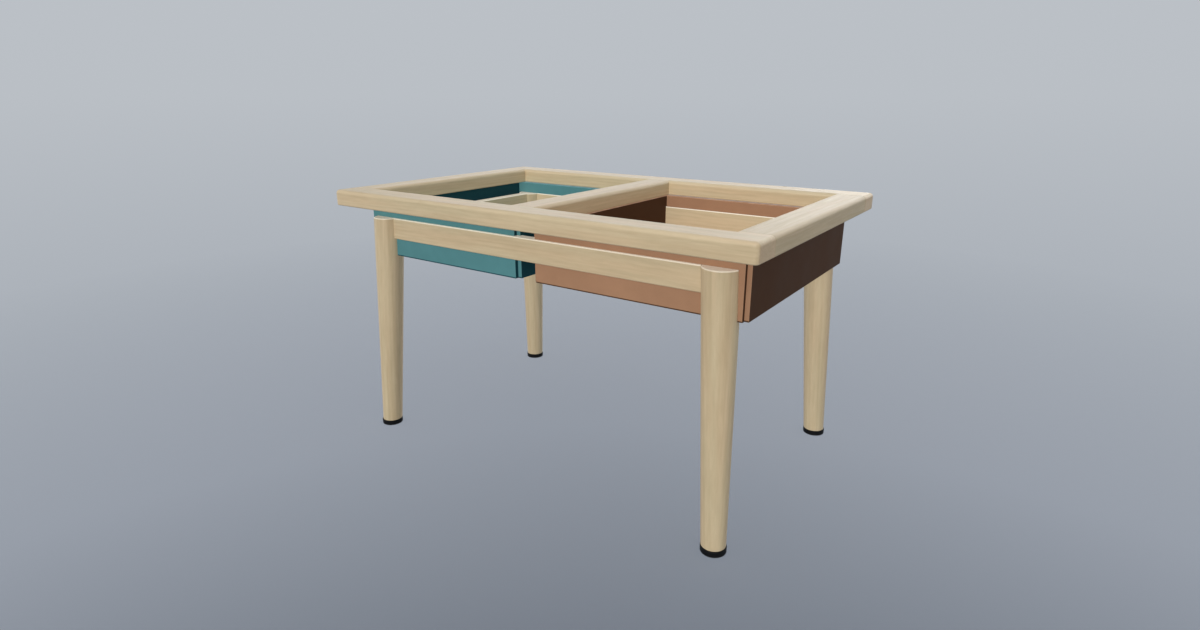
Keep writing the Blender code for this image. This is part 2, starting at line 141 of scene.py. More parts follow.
def soften(corners, radius, steps, closed=True, inwards=0.0):
    """Round the corners of a flat outline, and give each point its outward direction.

    The outline runs anticlockwise. An arc starts radius x tan(half the turn) before its corner,
    and its points lie radius away from a centre on the inner side of the corner. Their outward
    direction turns evenly from that of one edge to that of the next. Moved inwards, a corner
    slides along its mitre, an outer round shrinks by the distance and an inner one grows by it.
    """
    corners = np.asarray(corners, float)
    radius = np.broadcast_to(np.asarray(radius, float), len(corners)).copy()
    before = corners - np.roll(corners, 1, axis=0)
    after = np.roll(corners, -1, axis=0) - corners
    if not closed:
        before[0], after[-1] = after[0], before[-1]
        radius[0] = radius[-1] = 0.0
    before /= np.linalg.norm(before, axis=1)[:, None]
    after /= np.linalg.norm(after, axis=1)[:, None]
    turn = np.arctan2(before[:, 0] * after[:, 1] - before[:, 1] * after[:, 0],
                      (before * after).sum(1))
    square = (before + after)[:, ::-1] * (1, -1)
    corners = corners - inwards * square / (1 + (before * after).sum(1))[:, None]
    radius = np.maximum(radius - inwards * np.sign(turn), 0.0)
    start = np.arctan2(-before[:, 0], before[:, 1])
    angle = start[:, None] + turn[:, None] * np.linspace(0, 1, steps + 1)
    outward = np.stack([np.cos(angle), np.sin(angle)], -1)
    bend = (np.sign(turn) * radius)[:, None]
    centre = corners - before * (radius * np.tan(abs(turn) / 2))[:, None] - bend * outward[:, 0]
    points = centre[:, None] + bend[:, None] * outward
    points, outward = points.reshape(-1, 2), outward.reshape(-1, 2)
    if closed:
        points = np.concatenate([points, points[:1]])
        outward = np.concatenate([outward, outward[:1]])
    return points, outward


def edge_levels(low, high, under, over, steps):
    """Heights up a rounded edge, how far each lies inwards, and how far its face tilts upwards.

    Below, the tilt runs from -90 to 0 degrees on a circle of radius under, and above from 0 to
    90 degrees on one of radius over. A level lies radius x (1 - cosine of the tilt) inwards.
    """
    quarter = np.linspace(0, math.pi / 2, steps + 1)
    tilt = np.concatenate([-quarter[::-1], quarter])
    radius = np.repeat([under, over], steps + 1)
    base = np.repeat([low + under, high - over], steps + 1)
    return base + radius * np.sin(tilt), radius * (1 - np.cos(tilt)), tilt


def circle(sides):
    """Even angles once round, and their (cosine, sine), the last of which is the first again."""
    angle = np.linspace(0, TURN, sides + 1)
    ring = np.stack([np.cos(angle), np.sin(angle)], -1)
    ring[-1] = ring[0]
    return angle, ring


def raised(level, upward):
    """Level points or directions, one row to a height, joined with each row's upward part."""
    up = np.broadcast_to(upward[:, None, None], level.shape[:2] + (1,))
    return np.concatenate([level, up], -1)


def facing(outward, tilt):
    """Outward directions of a level outline, tilted upwards: cosine x outward, sine x up."""
    return raised(np.cos(tilt)[:, None, None] * outward[None], np.sin(tilt))


def grid_facing(points):
    """Outward directions of a grid: the cross product of its two running directions."""
    across = np.gradient(points, axis=1)
    across[:, 0] = across[:, -1] = points[:, 1] - points[:, -2]
    return np.cross(across, np.gradient(points, axis=0))


def make_piece(name, replaced, finish, slot, body, grids, caps=()):
    """Weld grids of points and flat caps into one closed mesh that rides on a body.

    A grid is (points, directions), each rows x columns x 3, and a cap is (ring, direction).
    Points equal to the micrometre become one, a face keeps only its differing corners, each
    corner keeps its own grid's direction, and a grid or cap that faces inwards is turned over.
    """
    points = np.concatenate([place.reshape(-1, 3) for place, _ in grids]
                            + [ring for ring, _ in caps])
    outward = np.concatenate([way.reshape(-1, 3) for _, way in grids]
                             + [np.broadcast_to(way, ring.shape) for ring, way in caps])
    spots = np.round(points * MICROMETRES_IN_A_METRE).astype(np.int64)
    _, first, welded = np.unique(spots, axis=0, return_index=True, return_inverse=True)
    welded = welded.reshape(-1)
    corners, counts, start = [], [], 0
    for place, way in grids:
        rows, columns = place.shape[:2]
        index = start + np.arange(rows * columns).reshape(rows, columns)
        quads = np.stack([index[:-1, :-1], index[:-1, 1:], index[1:, 1:], index[1:, :-1]], -1)
        quads = quads.reshape(-1, 4)
        a, b, c, d = (points[quads[:, corner]] for corner in range(4))
        if (np.cross(c - a, d - b) * outward[quads].sum(1)).sum() < 0:
            quads = quads[:, ::-1]
        keep = welded[quads] != np.roll(welded[quads], 1, axis=1)
        keep &= (keep.sum(1) > 2)[:, None]
        corners.append(quads[keep])
        counts.append(keep.sum(1)[keep.any(1)])
        start += rows * columns
    for ring, way in caps:
        index = start + np.arange(len(ring))
        index = index[welded[index] != np.roll(welded[index], 1)]
        spot = points[index]
        if (np.cross(spot, np.roll(spot, -1, axis=0)).sum(0) * np.asarray(way)).sum() < 0:
            index = index[::-1]
        corners.append(index)
        counts.append([len(index)])
        start += len(ring)
    corners, counts = np.concatenate(corners), np.concatenate(counts)
    used, numbers = np.unique(welded[corners], return_inverse=True)
    mesh = bpy.data.meshes.new(name)
    mesh.vertices.add(len(used))
    mesh.vertices.foreach_set("co", points[first[used]].astype(np.float32).ravel())
    mesh.loops.add(len(corners))
    mesh.loops.foreach_set("vertex_index", numbers.reshape(-1).astype(np.int32))
    mesh.polygons.add(len(counts))
    mesh.polygons.foreach_set("loop_start", (np.cumsum(counts) - counts).astype(np.int32))
    mesh.update(calc_edges=True)
    mesh.shade_smooth()
    mesh.normals_split_custom_set(outward[corners])
    mesh.materials.append(finish)
    piece = bpy.data.objects.new(name, mesh)
    bpy.context.scene.collection.objects.link(piece)
    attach(piece, body)
    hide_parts(replaced)


def board_shell(low_corners, high_corners, rounds, low, high, under, over, face_only=False):
    """The grid and caps of an upright board: a level outline carried from low to high.

    The outline's corners run straight from the low ones to the high ones, and each level moves
    inwards by the rounding of the lower and the upper edge. Where a board is too narrow for
    that, only the face at WALL_FACE moves, and only the part of a direction along +y tilts.
    """
    height, inset, tilt = edge_levels(low, high, under, over, BOARD_STEPS)
    levels, ways = [], []
    for z, inwards, lean in zip(height, inset, tilt):
        share = (z - low) / (high - low)
        corners = np.asarray(low_corners) * (1 - share) + np.asarray(high_corners) * share
        if face_only:
            corners[:, 1] = np.minimum(corners[:, 1], WALL_FACE - inwards)
            inwards = 0.0
        flat, outward = soften(corners, rounds, BOARD_STEPS, inwards=inwards)
        if face_only:
            level_part = np.column_stack([np.ones(len(flat)),
                                          np.where(outward[:, 1] > 0, math.cos(lean), 1.0)])
            up_part = np.maximum(outward[:, 1], 0.0) * math.sin(lean)
        else:
            level_part, up_part = math.cos(lean), np.full(len(flat), math.sin(lean))
        levels.append(np.column_stack([flat, np.full(len(flat), z)]))
        ways.append(np.column_stack([outward * level_part, up_part]))
    points = np.stack(levels)
    caps = [(points[0, :-1], (0, 0, -1)), (points[-1, :-1], (0, 0, 1))]
    return (points, np.stack(ways)), caps


def placed(shell, signs=(1, 1, 1), order=(0, 1, 2)):
    """Reorder the axes of grids or caps and mirror them, for a piece that faces another way."""
    signs, order = np.asarray(signs, float), list(order)
    return [(np.asarray(place)[..., order] * signs, np.asarray(way)[..., order] * signs)
            for place, way in shell]


def turned(foot, radius, height, out_way, up_way, sides, lean=(0.0, 0.0), leaning=None,
           lobes=None):
    """A profile turned round an upright axis, which may lean by a rate of its height.

    A point is the axis plus radius x (cosine, sine) of the angle. The radius may swell by
    lobes x the cosine of six times the angle. Where the axis leans, a direction's upward part
    falls by the lean times its level part.
    """
    angle, ring = circle(sides)
    leaning = np.ones(len(height)) if leaning is None else leaning
    reach = radius[:, None] + (0 if lobes is None else lobes[:, None] * np.cos(6 * angle))
    shift = np.asarray(lean) * (height * leaning)[:, None]
    level = np.asarray(foot) + shift[:, None] + reach[..., None] * ring
    flat_way = out_way[:, None, None] * ring
    up_part = up_way[:, None] - (flat_way * np.asarray(lean)).sum(-1) * leaning[:, None]
    return raised(level, height), np.concatenate([flat_way, up_part[..., None]], -1)


def turned_profile(corners, radius, steps):
    """A half outline of (radius, height) corners, run from the top inwards round to the axis."""
    points, outward = soften(corners, radius, steps, closed=False)
    return points[:, 0], points[:, 1], outward[:, 0], outward[:, 1]


def long_rail(end):
    """A front or rear rail as level outlines stacked from its underside to its top.

    Its free sides are rounded all the way. Along the openings each level steps outwards by
    the rounding, and at an opening's ends it steps back square, so that the rounding of the
    opening turns its corner on a mitre line.
    """
    height, inset, tilt = edge_levels(FRAME_UNDERSIDE, FRAME_TOP, BOTTOM_ROUND, TOP_ROUND,
                                      RAIL_STEPS)
    free_corners = [(HALF_LENGTH, OPENING_Y), (HALF_LENGTH, HALF_WIDTH),
                    (-HALF_LENGTH, HALF_WIDTH), (-HALF_LENGTH, OPENING_Y)]
    flat, outward = soften(free_corners, (0, TOP_ROUND, TOP_ROUND, 0), RAIL_STEPS, closed=False)
    flat = flat - inset[:, None, None] * outward
    grids = [(raised(flat, height), facing(outward, tilt))]

    def strip(first_x, first_y, last_x, last_y, way):
        """Two columns of points up the levels, with the rounding's tilt on their direction."""
        ones = np.ones(len(height))
        points = np.stack([np.stack([x * ones, y * ones, height], -1)
                           for x, y in ((first_x, first_y), (last_x, last_y))], 1)
        return points, facing(np.array([way, way], float), tilt)

    edge = OPENING_Y
    stops = []
    for low_x, high_x in ((-OPENING_X, -DIVIDER_HALF), (DIVIDER_HALF, OPENING_X)):
        low_end, high_end = low_x - inset, high_x + inset
        grids.append(strip(low_end, edge, low_end, edge + inset, (1, 0)))
        grids.append(strip(low_end, edge + inset, high_end, edge + inset, (0, -1)))
        grids.append(strip(high_end, edge + inset, high_end, edge, (-1, 0)))
        stops += [low_end, high_end]
    stops = [inset - HALF_LENGTH] + stops + [HALF_LENGTH - inset]
    for first, last in zip(stops[0::2], stops[1::2]):
        points, _ = strip(first, edge, last, edge, (0, -1))
        grids.append((points, np.broadcast_to((0.0, -1.0, 0.0), points.shape)))

    def ring(row, way):
        """The whole outline at one level, for a cap."""
        xs = [stop[row] for stop in stops]
        deep = edge + inset[row]
        inner = [(xs[0], edge), (xs[1], edge), (xs[1], deep), (xs[2], deep), (xs[2], edge),
                 (xs[3], edge), (xs[3], deep), (xs[4], deep), (xs[4], edge), (xs[5], edge)]
        outline = np.concatenate([grids[0][0][row, :, :2], inner])
        return np.column_stack([outline, np.full(len(outline), height[row])]), (0, 0, way)

    caps = [ring(0, -1), ring(-1, 1)]
    return placed(grids, (1, end, 1)), placed(caps, (1, end, 1))


def short_rail(low_x, high_x):
    """A rail between the long ones: an x-z section carried straight along y.

    Over the last millimetre at each end the section shrinks by a millimetre, which shows as a
    fine groove at the joint.
    """
    corners = [(low_x, FRAME_UNDERSIDE), (high_x, FRAME_UNDERSIDE),
               (high_x, FRAME_TOP), (low_x, FRAME_TOP)]
    radius = (BOTTOM_ROUND, BOTTOM_ROUND, TOP_ROUND, TOP_ROUND)
    section, outward = soften(corners, radius, RAIL_STEPS)
    reach = OPENING_Y - JOINT_GAP
    eased = section - JOINT_EASED * outward
    outlines = [np.column_stack([flat[:, 0], np.full(len(flat), y), flat[:, 1]])
                for flat, y in ((eased, -reach), (section, JOINT_EASED - reach),
                                (section, reach - JOINT_EASED), (eased, reach))]
    grids = []
    for number, along in enumerate((-1.0, 0.0, 1.0)):
        way = np.column_stack([outward[:, 0], np.full(len(section), along), outward[:, 1]])
        way = way / np.linalg.norm(way, axis=1, keepdims=True)
        grids.append((np.stack(outlines[number:number + 2]), np.stack([way, way])))
    return grids, [(outlines[0][:-1], (0, -1, 0)), (outlines[3][:-1], (0, 1, 0))]


def leg_axis(height):
    """How far the legs' axes are from the middle at a height, in x and in y."""
    return FOOT_X - SPLAY_RATE * height, FOOT_Y - SPLAY_RATE * height


def leg_radius(height):
    """The legs' radius at a height: a straight taper from foot to top."""
    share = (height - LEG_BOTTOM) / (LEG_TOP - LEG_BOTTOM)
    return LEG_FOOT_RADIUS + (LEG_TOP_RADIUS - LEG_FOOT_RADIUS) * share


def leg_reach(height, away):
    """Half the width of the leg's round at a distance away from its axis, with room to fit."""
    return np.sqrt(np.maximum(leg_radius(height) ** 2 - away ** 2, 0)) + FIT


def leg_shell(side, end):
    """A leg: a tapered, leaning profile with an upright bore for its insert up the foot end."""
    seat_radius, seat_top, steps = SLEEVE_RADIUS + FIT, SLEEVE_TOP + FIT, 6
    bore = [(0.0, BORE_TOP), (BORE_RADIUS, BORE_TOP), (BORE_RADIUS, seat_top),
            (seat_radius, seat_top), (seat_radius, LEG_BOTTOM)]
    outside = [(LEG_FOOT_RADIUS, LEG_BOTTOM), (LEG_TOP_RADIUS, LEG_TOP), (0.0, LEG_TOP)]
    radius, height, out_way, up_way = turned_profile(
        bore + outside, (0, 0, 0, 0, ARRIS, 0.0012, 0.003, 0), steps)
    leaning = np.where(np.arange(len(height)) < len(bore) * (steps + 1), 0.0, 1.0)
    lean = (-side * SPLAY_RATE, -end * SPLAY_RATE)
    foot = (side * FOOT_X, end * FOOT_Y)
    return [turned(foot, radius, height, out_way, up_way, LEG_SIDES, lean, leaning)]


def apron_shell(along, sign):
    """An apron: a rounded section carried from leg to leg, its ends hollowed to their round.

    along is 0 for an apron that runs in x and 1 for one that runs in y, and sign is the side of
    the middle that it lies on. At each point of the section an end lies where the leg's surface
    is, and the hollow is closed by rings that shrink to the middle of the section.
    """
    middle_z = (APRON_BOTTOM + LEG_TOP) / 2
    centre = leg_axis(middle_z)[1 - along]
    half = APRON_THICKNESS / 2
    corners = [(centre - half, APRON_BOTTOM), (centre + half, APRON_BOTTOM),
               (centre + half, LEG_TOP), (centre - half, LEG_TOP)]
    section, outward = soften(corners, APRON_ROUND, 6)
    core = np.array([centre, middle_z])
    shrink = np.linspace(1, 0, 7)[:, None, None]
    rings = core + (section - core) * shrink
    axis = leg_axis(rings[..., 1])
    stop = axis[along] - leg_reach(rings[..., 1], rings[..., 0] - axis[1 - along])
    grids = []
    for way in (-1, 1):
        cap = np.stack([way * stop, rings[..., 0], rings[..., 1]], -1)
        grids.append((cap, np.broadcast_to((way, 0.0, 0.0), cap.shape)))
    skin = np.stack([grids[0][0][0], grids[1][0][0]])
    way = np.column_stack([np.zeros(len(section)), outward])
    grids.append((skin, np.broadcast_to(way, skin.shape)))
    if along == 0:
        return placed(grids, (1, sign, 1))
    return placed(grids, (sign, 1, 1), (1, 0, 2))


def upper_board():
    """A bin's long wall above the apron, and its drop past the leg, both rebated for the sides.

    It is worked out for the right rear quarter, in two lengths that meet at the apron's top:
    the upper one's outline has a point where each end of the drop's hollow meets it.
    """
    joint = LEG_TOP + FIT
    each = BOARD_STEPS + 1  # points at each corner of a softened outline
    end_corners = [(OUTER_REBATE, WALL_BACK), (OUTER_REBATE, WALL_MIDDLE),
                   (OUTER_END, WALL_MIDDLE), (OUTER_END, WALL_FACE)]
    drop = []
    for height in (BIN_BOTTOM, joint):
        y = np.linspace(WALL_FACE, WALL_BACK, 7)
        axis = leg_axis(height)
        arc = np.column_stack([axis[0] + leg_reach(height, y - axis[1]), y])
        drop.append(np.concatenate([end_corners, arc]))
    rounds = [ARRIS, REBATE_ROUND, ARRIS, EASED, ARRIS] + [0.0] * 5 + [ARRIS]
    lower, lower_caps = board_shell(*drop, rounds, BIN_BOTTOM, joint, LOWER_EASED, 0.0,
                                    face_only=True)
    hollow = soften(drop[1], rounds, BOARD_STEPS)[0][len(end_corners) * each:-1]
    corners = [(INNER_REBATE, WALL_BACK), hollow[-1], *end_corners, hollow[0],
               (INNER_END, WALL_FACE), (INNER_END, WALL_MIDDLE), (INNER_REBATE, WALL_MIDDLE)]
    rounds = (ARRIS, 0, ARRIS, REBATE_ROUND, ARRIS, EASED, 0, EASED, ARRIS, REBATE_ROUND)
    upper, upper_caps = board_shell(corners, corners, rounds, joint, RIM, 0.0, EASED)
    # The upper length's underside beside the drop: from where the hollow starts, round the inner
    # end to where it stops, and back along it
    flat = soften(corners, rounds, BOARD_STEPS)[0]
    beside = np.concatenate([flat[6 * each:-1], flat[:each + 1], hollow[::-1]])
    beside = np.column_stack([beside, np.full(len(beside), joint)])
    return [lower, upper], [lower_caps[0], (beside, (0, 0, -1)), upper_caps[1]]


def lower_board():
    """A bin's long wall below the apron, from the inner side board to the leg's round."""
    top = APRON_BOTTOM - FIT
    outlines = []
    for height in (BIN_BOTTOM, top):
        y = np.linspace(WALL_BACK, WALL_FACE, 7)
        axis = leg_axis(height)
        arc = np.column_stack([axis[0] - leg_reach(height, y - axis[1]), y])
        outlines.append(np.concatenate([[(INNER_REBATE, WALL_BACK)], arc, [
            (INNER_END, WALL_FACE), (INNER_END, WALL_MIDDLE), (INNER_REBATE, WALL_MIDDLE)]]))
    rounds = [ARRIS, ARRIS] + [0.0] * 5 + [ARRIS, EASED, ARRIS, REBATE_ROUND]
    grid, caps = board_shell(*outlines, rounds, BIN_BOTTOM, top, LOWER_EASED, ARRIS)
    return [grid], list(caps)


def side_board(low_x, high_x, notched):
    """A bin's side: a y-z outline carried across its thickness, notched for the aprons."""
    reach = WALL_MIDDLE - FIT
    corners = [(-reach, BIN_BOTTOM), (reach, BIN_BOTTOM), (reach, RIM), (-reach, RIM)]
    if notched:
        notch, low, high = NOTCH_REACH, APRON_BOTTOM - FIT, LEG_TOP + FIT
        corners = [(-reach, BIN_BOTTOM), (reach, BIN_BOTTOM), (reach, low), (notch, low),
                   (notch, high), (reach, high), (reach, RIM), (-reach, RIM), (-reach, high),
                   (-notch, high), (-notch, low), (-reach, low)]
    grid, caps = board_shell(corners, corners, EASED, low_x, high_x, EASED, EASED)
    order = (2, 0, 1)
    return placed([grid], order=order), placed(caps, order=order)


def pad_shell(foot):
    """A glide pad: a low disc with rounded rims and, on top, a bore in a sunk hub and a groove."""
    hub, groove = PAD_HEIGHT - PAD_HUB_DROP, PAD_HEIGHT - PAD_GROOVE_DEPTH
    corners = [(0.0, PAD_SOCKET), (BORE_RADIUS, PAD_SOCKET), (BORE_RADIUS, hub), (0.0100, hub),
               (0.0106, PAD_HEIGHT), (0.0186, PAD_HEIGHT), (0.0192, groove), (0.0206, groove),
               (0.0212, PAD_HEIGHT), (PAD_RADIUS, PAD_HEIGHT), (PAD_RADIUS, 0.0), (0.0, 0.0)]
    rounds = (0, 0, 0.0002, 0.0003, 0.0003, 0.0003, 0.0002, 0.0002, 0.0003, 0.0014, 0.0014, 0)
    profile = turned_profile(np.array(corners)[::-1], rounds[::-1], 5)
    return [turned(foot, *profile, PAD_SIDES)]


def stem_shell(foot):
    """A glide's stem with its thread: the radius falls by the thread's depth along a helix.

    The fall is the distance from the nearest crest, as a share of half the pitch, with a tenth
    left flat at crest and root, where the crest climbs one pitch in each turn. Near both ends a
    45 degree chamfer limits the radius.
    """
    height = np.linspace(STEM_BOTTOM, STEM_TOP, STEM_ROWS)
    angle, ring = circle(STEM_SIDES)
    phase = (height[:, None] / THREAD_PITCH - angle / TURN) % 1
    fall = np.clip(1.25 * abs(2 * phase - 1) - 0.125, 0, 1) * THREAD_DEPTH
    from_end = np.minimum(height - STEM_BOTTOM, STEM_TOP - height)[:, None]
    reach = np.minimum(STEM_RADIUS - fall, STEM_RADIUS - STEM_CHAMFER + from_end)
    points = raised(np.asarray(foot) + reach[..., None] * ring, height)
    points[:, -1] = points[:, 0]
    caps = [(points[0, :-1], (0, 0, -1)), (points[-1, :-1], (0, 0, 1))]
    return [(points, grid_facing(points))], caps


def insert_shell(foot):
    """A threaded insert: a sleeve with a chamfered mouth."""
    corners = [(BORE_RADIUS, LEG_BOTTOM), (SLEEVE_RADIUS, LEG_BOTTOM), (SLEEVE_RADIUS, SLEEVE_TOP),
               (BORE_RADIUS, SLEEVE_TOP), (BORE_RADIUS, LEG_BOTTOM)]
    profile = turned_profile(corners, (0, 0.0003, 0.0002, 0.0002, 0), 3)
    return [turned(foot, *profile, SLEEVE_SIDES)]


def screw_shell(low, high):
    """A countersunk screw: a turned head and shank, with a six-lobed recess in the head.

    The lobes swell only the recess's wall, which lies between 0.8 and 2.2 mm from the axis.
    """
    foot = ((low[0] + high[0]) / 2, (low[1] + high[1]) / 2)
    length = high[2] - low[2]
    corners = [(0.0, RECESS_DEPTH), (0.0013, RECESS_DEPTH), (0.0017, 0.0), (HEAD_RADIUS, 0.0),
               (SHANK_RADIUS, HEAD_HEIGHT), (SHANK_RADIUS, length), (0.0, length)]
    rounds = (0, 0.0002, 0.0002, 0.0002, 0.0005, 0.0006, 0)
    radius, height, out_way, up_way = turned_profile(corners, rounds, 4)
    wall = (radius > 0.0008) & (radius < 0.0022) & (height < RECESS_DEPTH + 0.00001)
    lobes = np.where(wall, LOBE_DEPTH, 0.0)
    return [turned(foot, radius, height + low[2], out_way, up_way, SCREW_SIDES, lobes=lobes)]


# Finishes

def step(tree, kind, inputs, **settings):
    """Add one node whose inputs are numbers, colours or other nodes' outputs."""
    made = tree.nodes.new(kind)
    for name, value in settings.items():
        setattr(made, name, value)
    for key, value in inputs.items():
        if isinstance(value, bpy.types.NodeSocket):
            tree.links.new(value, made.inputs[key])
        else:
            made.inputs[key].default_value = value
    return made


def calculate(tree, operation, *values):
    """One sum on numbers."""
    return step(tree, "ShaderNodeMath", dict(enumerate(values)), operation=operation).outputs[0]


def grade(tree, value, low, high, to_low=0.0, to_high=1.0):
    """Carry a value from one range to another, held at its ends."""
    return step(tree, "ShaderNodeMapRange", {"Value": value, "From Min": low, "From Max": high,
                                             "To Min": to_low, "To Max": to_high}).outputs[0]


def blend(tree, share, first, second, kind="MIX"):
    """Mix two colours by a share."""
    return step(tree, "ShaderNodeMix", {0: share, 6: first, 7: second}, data_type="RGBA",
                blend_type=kind).outputs[2]


def add_up(tree, share, patterns):
    """Add patterns to a share, each as (pattern, its low, its high, its weight)."""
    for pattern, low, high, weight in patterns:
        share = calculate(tree, "MULTIPLY_ADD", grade(tree, pattern, low, high), weight, share)
    return share


def part_of(tree, vector, axis):
    """One part of a direction or a place: 0, 1 or 2 for x, y or z."""
    return step(tree, "ShaderNodeSeparateXYZ", {0: vector}).outputs[axis]


def cloud(tree, place, scale, detail=2.0, rough=0.5, output="Fac"):
    """Noise at a scale, or at a scale for each axis."""
    if isinstance(scale, tuple):
        place = step(tree, "ShaderNodeMapping", {"Vector": place, "Scale": scale}).outputs[0]
        scale = 1.0
    return step(tree, "ShaderNodeTexNoise", {"Vector": place, "Scale": scale, "Detail": detail,
                                             "Roughness": rough}).outputs[output]


def new_finish(name, roughness, metallic=0.0, specular=0.5):
    """A material with its shader's constants set, and the object's own coordinates."""
    material = bpy.data.materials.new(name)
    material.use_nodes = True
    tree = material.node_tree
    shader = tree.nodes["Principled BSDF"]
    shader.inputs["Roughness"].default_value = roughness
    shader.inputs["Metallic"].default_value = metallic
    shader.inputs["Specular IOR Level"].default_value = specular
    place = tree.nodes.new("ShaderNodeTexCoord").outputs["Object"]
    return material, tree, shader, place


def finish_with(tree, shader, colour, rough, height, depth, strength):
    """Join a colour, a roughness and a relief of a depth in metres to the shader."""
    tree.links.new(colour, shader.inputs["Base Color"])
    tree.links.new(rough, shader.inputs["Roughness"])
    relief = step(tree, "ShaderNodeBump", {"Height": height, "Distance": depth,
                                           "Strength": strength})
    tree.links.new(relief.outputs[0], shader.inputs["Normal"])


def refinish(node, finish):
    """Give its finish to a node that shows as it is."""
    node.data.materials.clear()
    node.data.materials.append(finish)


def edge_share(tree, way):
    """Where the surface turns between two flat faces, from its direction's largest part.

    The three parts' sizes are given back as well.
    """
    size = step(tree, "ShaderNodeVectorMath", {0: way}, operation="ABSOLUTE").outputs[0]
    parts = step(tree, "ShaderNodeSeparateXYZ", {0: size})
    largest = calculate(tree, "MAXIMUM", calculate(tree, "MAXIMUM", parts.outputs[0],
                                                   parts.outputs[1]), parts.outputs[2])
    return grade(tree, largest, 0.98, 0.80), parts


# Linear colours. The rosy and the greenish one multiply the wood's own
BIRCH_LIGHT = (0.608, 0.492, 0.318, 1.0)
BIRCH_DARK = (0.438, 0.344, 0.206, 1.0)
ROSY = (1.0, 0.958, 0.925, 1.0)
GREENISH = (0.973, 0.983, 0.963, 1.0)
FLECK = (0.27, 0.19, 0.11, 1.0)
END_GRAIN = (0.47, 0.31, 0.18, 1.0)
# A paler wood colour for the painted highlight on the faces that look up
PAINTED_TOP_HIGHLIGHT = (0.970, 0.900, 0.740, 1.0)
PLASTIC_DEEP = (0.0025, 0.0026, 0.0028, 1.0)
PLASTIC_WORN = (0.0060, 0.0061, 0.0067, 1.0)
SCUFF = (0.07, 0.068, 0.065, 1.0)
ZINC_DULL = (0.50, 0.51, 0.53, 1.0)
ZINC_BRIGHT = (0.69, 0.69, 0.68, 1.0)

YEARS_IN_A_METRE = 120.0
# The turn that brings a grain along each axis onto z
GRAIN_ALONG = {"x": (0.0, math.pi / 2, 0.0), "y": (math.pi / 2, 0.0, 0.0), "z": (0.0, 0.0, 0.0)}


def birch(name, turn, pith, tone=0.5, top_highlight=0.0):
    """Pale birch, the same all through the wood: rings, fibres, flecks and a slow drift of tone.

    The grain runs along the turned z. Rings are shells round a pith line that lies off to one
    side, bent by slow noise, so that a face shows long soft lines and an end shows arcs.
    The last argument is how strongly the edges and faces that look up are painted paler, a
    painted highlight of the light from above. Tone moves the wood from pale at 0 to dark at 1.
    """
    material, tree, shader, place = new_finish(name, 0.5)
    wood = step(tree, "ShaderNodeMapping", {"Vector": place, "Rotation": turn,
                                            "Location": pith}).outputs[0]
    drift = cloud(tree, wood, (7.0, 7.0, 1.1), output="Color")
    drift = step(tree, "ShaderNodeVectorMath", {0: drift, 1: (0.5, 0.5, 0.5)},
                 operation="SUBTRACT").outputs[0]
    bent = step(tree, "ShaderNodeVectorMath", {0: drift, 1: (0.042, 0.042, 0.0), 2: wood},
                operation="MULTIPLY_ADD").outputs[0]
    across = step(tree, "ShaderNodeVectorMath", {0: bent, 1: (1.0, 1.0, 0.0)},
                  operation="MULTIPLY").outputs[0]
    shell = step(tree, "ShaderNodeVectorMath", {0: across}, operation="LENGTH").outputs["Value"]
    year = calculate(tree, "FRACT", calculate(tree, "MULTIPLY", shell, YEARS_IN_A_METRE))
    ring = calculate(tree, "MULTIPLY", calculate(tree, "POWER", year, 1.8),
                     grade(tree, year, 1.0, 0.72))
    fibre = cloud(tree, bent, (260.0, 260.0, 5.0), 4.0, 0.6)
    streak = cloud(tree, bent, (80.0, 80.0, 5.0), 3.0, 0.55)
    short = cloud(tree, bent, (190.0, 190.0, 24.0))
    fleck = grade(tree, cloud(tree, bent, (1100.0, 1100.0, 60.0), 1.0), 0.63, 0.72)
    broad = cloud(tree, bent, (16.0, 16.0, 2.0))
    share = add_up(tree, calculate(tree, "MULTIPLY", ring, 0.26), (
        (fibre, 0.30, 0.72, 0.18), (streak, 0.33, 0.68, 0.32), (short, 0.33, 0.68, 0.20),
        (broad, 0.3, 0.7, 0.24)))
    share = calculate(tree, "ADD", share, tone - 0.55)
    colour = blend(tree, grade(tree, share, 0.0, 1.0), BIRCH_LIGHT, BIRCH_DARK)
    shift = grade(tree, cloud(tree, bent, (34.0, 34.0, 2.6)), 0.36, 0.64)
    hue = blend(tree, shift, ROSY, GREENISH)
    colour = blend(tree, 1.0, colour, hue, "MULTIPLY")
    colour = blend(tree, calculate(tree, "MULTIPLY", fleck, 0.10), colour, FLECK)
    way = tree.nodes.new("ShaderNodeNewGeometry").outputs["Normal"]
    grain_way = step(tree, "ShaderNodeMapping", {"Vector": way, "Rotation": turn},
                     vector_type="VECTOR").outputs[0]
    end_face = grade(tree, calculate(tree, "ABSOLUTE", part_of(tree, grain_way, 2)), 0.80, 0.97)
    colour = blend(tree, calculate(tree, "MULTIPLY", end_face, 0.42), colour, END_GRAIN)
    # Edges and faces that look up are painted paler: a painted highlight of the light from above
    rise = part_of(tree, way, 2)
    upward = calculate(tree, "MULTIPLY", grade(tree, rise, 0.20, 0.60),
                       grade(tree, rise, 0.97, 0.998, 1.0, 0.6))
    paler_share = calculate(tree, "MULTIPLY", upward, grade(tree, streak, 0.3, 0.7, top_highlight, top_highlight * 0.8))
    colour = blend(tree, paler_share, colour, PAINTED_TOP_HIGHLIGHT)
    height = calculate(tree, "MULTIPLY_ADD", fleck, -0.6, fibre)
    rough = grade(tree, fibre, 0.25, 0.75, 0.40, 0.56)
    finish_with(tree, shader, colour, rough, height, 0.0002, 0.35)
    return material


